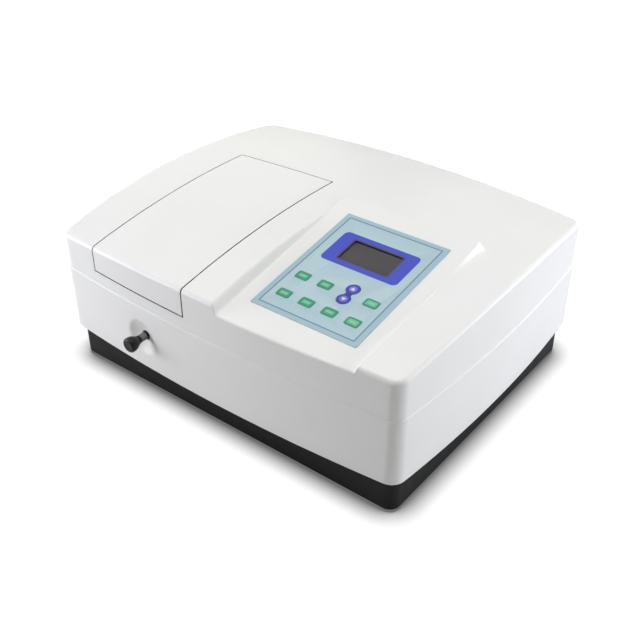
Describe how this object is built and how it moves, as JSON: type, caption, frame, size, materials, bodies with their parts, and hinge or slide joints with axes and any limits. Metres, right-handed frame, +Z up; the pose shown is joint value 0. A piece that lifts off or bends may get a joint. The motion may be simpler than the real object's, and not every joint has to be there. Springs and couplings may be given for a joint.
{
  "type": "spectrophotometer",
  "caption": "Bench spectrophotometer with crowned white case, black base pan, hinged sample lid, sloping keypad console and pull-rod cell changer.",
  "frame": {"origin": "on the bench, under the centre of the whole instrument's box, knob included", "axes": "+X to the operator's right, -Y to the front, +Z up"},
  "size_m": [0.4682, 0.3992, 0.1955],
  "materials": {
    "black_coat": "satin powder coat",
    "foot_rubber": "matte",
    "steel": "zinc-plated",
    "case_white": "satin moulded",
    "panel_black": "fine texture",
    "seal_foam": "foam",
    "tub_black": "matte",
    "anodised_black": "black anodised",
    "cell_glass": "polished",
    "rod_chrome": "ground",
    "knob_black": "satin",
    "overlay": "printed film",
    "lcd_glass": "hard-coated",
    "lcd_body": "reflective display",
    "key_green": "embossed film",
    "key_blue": "embossed film",
    "board": "solder mask",
    "zinc": "galvanised",
    "rocker_red": "gloss",
    "cable": "pvc",
    "bench_alu": "machined",
    "ceramic_white": "bisque",
    "mirror_face": "first-surface",
    "brass_nut": "turned",
    "filter_glass": "coloured"
  },
  "bodies": {
    "housing": {"base_pan": "black_coat", "rubber_feet": "foot_rubber", "case_screws": "steel", "lower_case": "case_white", "upper_cover": "case_white", "rear_panel": "panel_black", "lid_hinge_pin": "steel", "hinge_bracket": "steel", "lid_seal": "seal_foam", "compartment_tub": "tub_black", "guide_rails": "steel", "rod_bushing": "knob_black", "detent_leaf": "steel", "graphic_overlay": "overlay", "lcd_window": "lcd_glass", "lcd_module": "lcd_body", "tact_switches": "knob_black", "keypad_board": "board", "main_board": "board", "power_supply": "zinc", "fan_frame": "knob_black", "finger_guard": "steel", "power_inlet": "knob_black", "serial_port": "zinc", "wiring_harness": "cable", "bench_plate": "bench_alu", "lamp_house": "zinc", "lamp_socket": "ceramic_white", "lamp_bulb": "cell_glass", "condenser_lens": "cell_glass", "mono_base": "anodised_black", "mono_cover": "anodised_black", "slit_plates": "bench_alu", "mono_mirrors": "mirror_face", "stepper_motor": "knob_black", "filter_motor": "knob_black", "detector_box": "tub_black", "photodiode": "bench_alu"},
    "lid": {"sample_lid": "case_white"},
    "changer": {"cell_carriage": "anodised_black", "cuvettes": "cell_glass", "pull_rod": "rod_chrome", "rod_knob": "knob_black"},
    "fan_wheel": {"fan_rotor": "knob_black"},
    "rocker": {"rocker_switch": "rocker_red"},
    "grating_turret": {"grating_table": "bench_alu", "grating": "mirror_face"},
    "screw": {"lead_screw": "steel"},
    "nut": {"drive_nut": "brass_nut"},
    "filter_disc": {"filter_wheel": "anodised_black", "order_filters": "filter_glass"},
    "key_mode_cap": {"key_mode": "key_green"},
    "key_func_cap": {"key_func": "key_green"},
    "key_enter_cap": {"key_enter": "key_green"},
    "key_goto_cap": {"key_goto": "key_green"},
    "key_load_cap": {"key_load": "key_green"},
    "key_zero_cap": {"key_zero": "key_green"},
    "key_print_cap": {"key_print": "key_green"},
    "key_up_cap": {"key_up": "key_blue"},
    "key_down_cap": {"key_down": "key_blue"}
  },
  "joints": [
    {"name": "lid_hinge", "type": "hinge", "parent": "housing", "child": "lid", "pos_m": [-0.1, 0.05545, 0.1795], "axis": [-1, 0, 0], "range_deg": [0, 75]},
    {"name": "rod_pull", "type": "slide", "parent": "housing", "child": "changer", "axis": [0, -1, 0], "range_m": [0, 0.06]},
    {"name": "fan_spin", "type": "hinge", "parent": "housing", "child": "fan_wheel", "pos_m": [0.06, 0.17645, 0.088], "axis": [0, 1, 0], "continuous": true},
    {"name": "power_rocker", "type": "hinge", "parent": "housing", "child": "rocker", "pos_m": [0.16, 0.18245, 0.1015], "axis": [-1, 0, 0], "range_deg": [0, 16]},
    {"name": "grating_turn", "type": "hinge", "parent": "housing", "child": "grating_turret", "pos_m": [0.02, 0.02945, 0.06], "axis": [0, 0, 1], "range_deg": [0, 20]},
    {"name": "nut_travel", "type": "slide", "parent": "housing", "child": "nut", "axis": [0, -1, 0], "range_m": [0, 0.0182]},
    {"name": "screw_spin", "type": "hinge", "parent": "housing", "child": "screw", "pos_m": [-0.04, 0.02945, 0.05], "axis": [0, -1, 0], "range_deg": [0, 3280]},
    {"name": "filter_index", "type": "hinge", "parent": "housing", "child": "filter_disc", "pos_m": [0.128, 0.08045, 0.107], "axis": [0, 1, 0], "continuous": true},
    {"name": "key_mode_press", "type": "slide", "parent": "housing", "child": "key_mode_cap", "axis": [0, 0.1724, -0.985], "range_m": [0, 0.0006]},
    {"name": "key_func_press", "type": "slide", "parent": "housing", "child": "key_func_cap", "axis": [0, 0.1724, -0.985], "range_m": [0, 0.0006]},
    {"name": "key_enter_press", "type": "slide", "parent": "housing", "child": "key_enter_cap", "axis": [0, 0.1724, -0.985], "range_m": [0, 0.0006]},
    {"name": "key_goto_press", "type": "slide", "parent": "housing", "child": "key_goto_cap", "axis": [0, 0.1724, -0.985], "range_m": [0, 0.0006]},
    {"name": "key_load_press", "type": "slide", "parent": "housing", "child": "key_load_cap", "axis": [0, 0.1724, -0.985], "range_m": [0, 0.0006]},
    {"name": "key_zero_press", "type": "slide", "parent": "housing", "child": "key_zero_cap", "axis": [0, 0.1724, -0.985], "range_m": [0, 0.0006]},
    {"name": "key_print_press", "type": "slide", "parent": "housing", "child": "key_print_cap", "axis": [0, 0.1724, -0.985], "range_m": [0, 0.0006]},
    {"name": "key_up_press", "type": "slide", "parent": "housing", "child": "key_up_cap", "axis": [0, 0.1724, -0.985], "range_m": [0, 0.0006]},
    {"name": "key_down_press", "type": "slide", "parent": "housing", "child": "key_down_cap", "axis": [0, 0.1724, -0.985], "range_m": [0, 0.0006]}
  ],
  "couplings": [
    {"joint": "nut_travel", "follows": "grating_turn", "m_per_rad": 0.052},
    {"joint": "screw_spin", "follows": "grating_turn", "ratio": 163.36}
  ]
}
